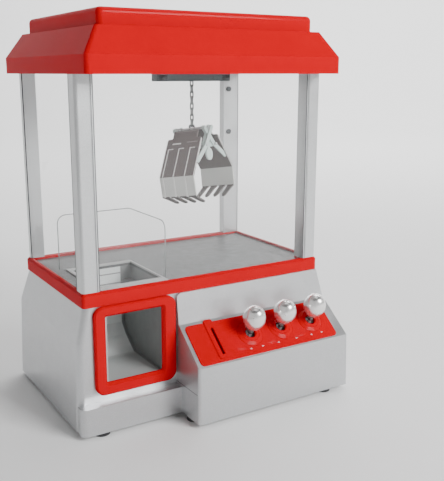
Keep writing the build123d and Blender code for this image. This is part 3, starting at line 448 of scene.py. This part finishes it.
def jaw(side, body):
    """Dark upper plate with raised lines, light lower plate, four tapered teeth. The raised lines, the
    lower plate's bands and the upper plate's side edges are tinted pale as painted highlight; the teeth
    are tinted dark as painted shade.
    """
    claw = claw_frame(side == "left")
    long = length(SHOULDER, CREASE)
    neck = length(NECK, SHOULDER)
    upper = plate_frame(claw, SHOULDER, CREASE)
    half, slim = JAW_HALF, NECK_HALF
    bm = bmesh.new()
    edge = [(-neck, slim), (-0.4, slim), (0.0, slim + 1.5), (0.0, half - 1.2), (1.2, half), (long, half)]
    outline = [(-neck, -slim)] + edge
    outline += [(x, -y) for x, y in reversed(edge[1:])]
    prism(bm, upper, outline, -SHEET, 0.0)
    dark = piece(f"{side}_jaw_upper", bm, "claw_shell", body, MORE["claw_dark"], 0.0003)
    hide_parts(f"{side}_jaw")

    bm = bmesh.new()
    # raised lines and the plate's side edges, tinted pale as painted highlight
    for y in LINES:
        prism(bm, upper, strip(12.0, long - 0.2, y - 0.45, y + 0.45), -0.2, 0.35)
        prism(bm, upper, strip(11.2, 12.1, y - 0.45, y + 5.4), -0.2, 0.35)
    prism(bm, upper, strip(5.2, 6.7, -12.4, -2.8), -0.2, 0.3)
    for y in (-half + 0.35, half - 0.35):
        prism(bm, upper, strip(1.5, long - 0.2, y - 0.35, y + 0.35), -SHEET, 0.15)
    piece(f"{side}_jaw_lines", bm, "claw_shell", body, MORE["rib_painted_highlight"], 0.0001)

    bm = bmesh.new()
    prism(bm, upper, strip(4.6, 5.8, 4.0, 15.6), -0.2, 0.25)
    prism(bm, upper, strip(-neck + 1.0, -neck + 2.0, -slim + 2, slim - 2), -0.2, 0.25)
    piece(f"{side}_jaw_slots", bm, "claw_shell", body, MORE["claw_mid"], 0.0001)

    lower = plate_frame(claw, CREASE, LIP)
    drop = length(CREASE, LIP)
    bm = bmesh.new()
    prism(bm, lower, strip(0.0, drop, -half, half), -SHEET, 0.0)
    piece(f"{side}_jaw_lower", bm, "claw_shell", body, None, 0.0004)

    bm = bmesh.new()
    # raised bands on the lower plate, tinted pale as painted highlight
    for y in LINES:
        prism(bm, lower, strip(0.3, drop - 0.3, y - 0.8, y + 0.8), -0.2, 0.3)
    piece(f"{side}_jaw_bands", bm, "claw_shell", body, MORE["rib_painted_highlight"], 0.0001)

    # the teeth take a dark tint as painted shade
    teeth = plate_frame(claw, LIP, TIP)
    reach = length(LIP, TIP)
    bm = bmesh.new()
    for k in range(TEETH):
        y = -half + 4.4 + k * (2 * half - 8.8) / (TEETH - 1)
        tooth = [(-0.4, y - 4.2), (4.0, y - 3.0), (reach - 2.0, y - 2.3), (reach, y - 1.2)]
        tooth += [(reach, y + 1.2), (reach - 2.0, y + 2.3), (4.0, y + 3.0), (-0.4, y + 4.2)]
        prism(bm, teeth, tooth, -SHEET, 0.0)
    piece(f"{side}_jaw_teeth", bm, "claw_shell", body, MORE["tooth"], 0.0003)


def chain():
    """Round-wire links, every other one turned by a quarter."""
    low, high = (Vector(corner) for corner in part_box("lift_chain"))
    wire, pitch, inner, wide = 0.72 * MM, 5.5 * MM, 2.78 * MM, 1.48 * MM
    centre = (low + high) / 2
    x_axis = Vector(JOINTS["jaw_close"]["axis"]).cross(Vector((0, 0, 1))).normalized()
    turns = (x_axis, Vector((0, 0, 1)).cross(x_axis))
    count = round((high.z - low.z - 2 * (inner + 1.2 * MM)) / pitch) + 1
    bm = bmesh.new()
    for k in range(count):
        middle = Vector((centre.x, centre.y, low.z + 1.2 * MM + inner + k * pitch))
        across = turns[k % 2]
        path = []
        for j in range(20):
            t = 2 * pi * j / 20
            shift = inner + wire - wide
            z = wide * sin(t) + (shift if sin(t) > 0 else -shift)
            path.append(middle + across * (wide * cos(t)) + Vector((0, 0, z)))
        tube(bm, path, wire, closed=True)
    links = piece("chain_links", bm, "dark_chain", "hook")
    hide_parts("lift_chain")


def slope_frame():
    """The fascia's plane: local x across, local y up the slope, origin at the slope's middle, mm."""
    joint = JOINTS["lever_1_tilt"]
    up_slope = Vector(joint["axis"])
    out = Vector((1, 0, 0)).cross(up_slope)
    pivot = Vector(joint["pos_m"])
    origin = pivot + out * PIVOT_UNDER_FASCIA * MM + up_slope * PIVOT_BELOW_MIDDLE * MM
    return basis((0, origin.y, origin.z), (1, 0, 0), up_slope)


def fascia_details():
    """Raised rings round the levers, and small arrows."""
    slope = slope_frame()
    bm = bmesh.new()
    for number in (1, 2, 3):
        x = JOINTS[f"lever_{number}_tilt"]["pos_m"][0] / MM
        ring = slope @ Matrix.Translation((x, 0, 0))
        for radius, height in RINGS:
            low, high = height - 0.2, height + 0.35
            lathe(bm, ring, [(radius, low), (radius + 0.35, high), (radius + 0.8, low)])
    piece("fascia_rings", bm, "red_plastic", "cabinet")
    bm = bmesh.new()
    for x, side in ARROWS:
        arrow = [(x - 1.3 * side, -16.6), (x + 1.4 * side, -15.6), (x - 1.3 * side, -14.6)]
        prism(bm, slope, arrow, 0.7, 0.95)
    piece("fascia_arrows", bm, "white_plastic", "cabinet", MORE["mark_white"])


def knob_collars():
    """A black ring on each lever's rod, under its knob."""
    lean = radians(KNOB_LEAN)
    up = Vector((0, -sin(lean), cos(lean)))
    for number in (1, 2, 3):
        at = Vector(JOINTS[f"lever_{number}_tilt"]["pos_m"]) + up * COLLAR_RISE * MM
        ring = basis(at, (1, 0, 0), up.cross(Vector((1, 0, 0))))
        bm = bmesh.new()
        lathe(bm, ring, [(2.05, -0.8), (2.6, -0.8), (2.9, -0.4), (2.9, 0.4), (2.6, 0.78), (2.05, 0.78)])
        piece(f"knob_collar_{number}", bm, "black_plastic", f"lever_{number}")


def guard_edges():
    """The clear guard's edges as thin grey tubes, a painted highlight standing in for the light caught in
    the sheet's cut edges.
    """
    low, high = (Vector(corner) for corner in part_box("chute_guard"))
    x0, x1 = low.x + GUARD_SHEET / 4 * MM, high.x - GUARD_SHEET / 2 * MM
    y0, y1 = low.y + GUARD_SHEET / 4 * MM, high.y - GUARD_SHEET / 2 * MM
    base, top = low.z + GUARD_SHEET * MM, high.z - GUARD_SHEET / 4 * MM
    bend = GUARD_BEND * MM
    arc = [(1 - cos(radians(a)), sin(radians(a))) for a in range(0, 91, 15)]
    points = [Vector((x1, y0, base))]
    points += [Vector((x1, y0 + bend * c, top - bend + bend * s)) for c, s in arc]
    points += [Vector((x1, y1, top))]
    points += [Vector((x0 + bend * c, y1, top - bend + bend * s)) for c, s in reversed(arc)]
    points += [Vector((x0, y1, base))]
    bm = bmesh.new()
    tube(bm, points, GUARD_EDGE * MM)
    # painted highlight of the guard's cut edges
    piece("guard_edge", bm, "clear_sheet", "cabinet", MORE["guard_edge_painted_highlight"])


def post_strips():
    """Dark seals where the panes meet the posts."""
    bm = bmesh.new()
    (_, front, base), (outer, rear, top) = (Vector(corner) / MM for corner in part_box("front_posts"))
    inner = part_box("front_window")[1][0] / MM
    for side in (-1, 1):
        for start, end in FRONT_SEALS:
            x0, x1 = sorted((side * (inner + start), side * (inner + end)))
            prism(bm, MM_SPACE, strip(x0, x1, front - SEAL_PROUD, front + SEAL_DEPTH), base, top)
        x0, x1 = sorted((side * (outer + SEAL_PROUD), side * (outer - SEAL_DEPTH)))
        prism(bm, MM_SPACE, strip(x0, x1, rear - 0.8, rear), base, top)
    for name, side in (("rear_left_post", -1), ("rear_right_post", 1)):
        low, high = (Vector(corner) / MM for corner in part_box(name))
        outer = high.x if side > 0 else low.x
        x0, x1 = sorted((outer, outer - side * REAR_SEAL))
        prism(bm, MM_SPACE, strip(x0, x1, low.y - SEAL_PROUD, low.y + SEAL_DEPTH), low.z, high.z)
    piece("post_seals", bm, "black_rubber", "cabinet", MORE["seal_grey"])


def seams():
    """Shallow dark joint lines: round the housing's left wall and down the trolley."""
    corner = Vector(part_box("control_housing")[0]) / MM
    bm = bmesh.new()
    seam = strip(corner.x - 0.06, corner.x + 0.3, corner.y + 3.2, PANEL_FRONT)
    prism(bm, MM_SPACE, seam, *PLINTH_SEAM)
    piece("housing_seam", bm, "grey_plastic", "cabinet", MORE["seal_grey"])
    low, high = (Vector(corner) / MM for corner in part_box("trolley_frame"))
    bm = bmesh.new()
    front = JOINTS["claw_twist"]["pos_m"][1] / MM - 7.5
    for x in (low.x + 1.0, high.x - 10.0):
        prism(bm, MM_SPACE, strip(x, x + 9.0, front - 0.1, front + 0.4), low.z + 0.6, TROLLEY_EDGE)
    piece("trolley_ends", bm, "slate_plastic", "trolley", MORE["slate_dark"])


def chute_ribs():
    """Low ribs across the rear wall of the chute, under the hole."""
    low, high = (Vector(corner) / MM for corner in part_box("chute_collar"))
    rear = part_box("prize_chute")[1][1] / MM
    bm = bmesh.new()
    for z in RIB_HEIGHTS:
        prism(bm, MM_SPACE, strip(low.x + 7, high.x - 12, rear - 2.4, rear - 1.6), z, z + 1.2)
    piece("chute_ribs", bm, "grey_plastic", "cabinet", MORE["rib_grey"], 0.0003)


# Stage, light and camera


def cyclorama():
    """A round floor that curves up into a wall far from the object."""
    curve = [(sin(radians(a)), 1.0 - cos(radians(a))) for a in range(10, 91, 10)]
    profile = [(0.001, 0.0), (FLOOR_RADIUS, 0.0)]
    profile += [(FLOOR_RADIUS + WALL_CURVE * out, WALL_CURVE * rise) for out, rise in curve]
    profile += [(FLOOR_RADIUS + WALL_CURVE, WALL_TOP)]
    bm = bmesh.new()
    steps = 72
    rings = []
    for radius, height in profile:
        turns = [2 * pi * j / steps for j in range(steps)]
        rings.append([bm.verts.new((radius * cos(t), radius * sin(t), height)) for t in turns])
    for first, second in zip(rings, rings[1:]):
        for j in range(steps):
            bm.faces.new((first[j - 1], first[j], second[j], second[j - 1]))
    mesh = bpy.data.meshes.new("floor")
    bm.to_mesh(mesh)
    bm.free()
    mesh.shade_smooth()
    floor = bpy.data.objects.new("floor", mesh)
    bpy.context.scene.collection.objects.link(floor)
    pale = bpy.data.materials.new("floor")
    pale.use_nodes = True
    shader = pale.node_tree.nodes["Principled BSDF"]
    shader.inputs["Base Color"].default_value = (*FLOOR_PALE, 1)
    shader.inputs["Roughness"].default_value = 0.95
    shader.inputs["Specular IOR Level"].default_value = 0.1
    floor.data.materials.append(pale)


def studio():
    cyclorama()
    world = bpy.data.worlds.new("studio")
    world.use_nodes = True
    world.node_tree.nodes["Background"].inputs["Color"].default_value = (1, 1, 1, 1)
    world.node_tree.nodes["Background"].inputs["Strength"].default_value = WORLD_STRENGTH
    bpy.context.scene.world = world
    for name, at, aim, size, power in LIGHTS:
        data = bpy.data.lights.new(name, "AREA")
        data.size = size
        data.energy = power
        light = bpy.data.objects.new(name, data)
        light.location = at
        light.rotation_euler = (Vector(aim) - Vector(at)).to_track_quat("-Z", "Y").to_euler()
        bpy.context.scene.collection.objects.link(light)


def camera():
    data = bpy.data.cameras.new("camera")
    data.lens = CAMERA_LENS
    data.shift_x, data.shift_y = CAMERA_SHIFT
    data.clip_start = 0.01
    eye = bpy.data.objects.new("camera", data)
    eye.location = CAMERA_AT
    eye.rotation_euler = Vector(CAMERA_AIM).to_track_quat("-Z", "Y").to_euler()
    bpy.context.scene.collection.objects.link(eye)
    bpy.context.scene.camera = eye


FINISH = make_finishes()
MORE = {
    "claw_dark": moulded("claw_dark", CLAW_DARK, 0.5, grain=0.00002, metal=0.1),
    "claw_mid": moulded("claw_mid", (0.30, 0.27, 0.26), 0.5),
    # painted highlight on the claw plates' ridges and edges
    "rib_painted_highlight": moulded("rib_painted_highlight", RIB_PAINTED_HIGHLIGHT, 0.4),
    # painted shade: the dark tint of the jaw teeth
    "tooth": moulded("tooth", (0.10, 0.085, 0.08), 0.45, metal=0.1),
    "mark_white": moulded("mark_white", (0.80, 0.42, 0.42), 0.5),
    # painted highlight: the grey of the clear guard's edges
    "guard_edge_painted_highlight": moulded("guard_edge_painted_highlight", (0.30, 0.315, 0.315), 0.35),
    "seal_grey": moulded("seal_grey", (0.10, 0.105, 0.11), 0.6),
    "rib_grey": moulded("rib_grey", (0.30, 0.305, 0.30), 0.5),
    "slate_dark": moulded("slate_dark", (0.035, 0.045, 0.05), 0.45),
}

finish_nodes()
# the chute's grey carries painted shade on the right wall and painted light towards the rear wall
NODES["prize_chute"].data.materials[0] = chute_grey_painted_shading("chute_grey_painted_shading", CHUTE_GREY)
jaw("right", "claw_right")
jaw("left", "claw_left")
chain()
fascia_details()
knob_collars()
guard_edges()
post_strips()
seams()
chute_ribs()
studio()
camera()
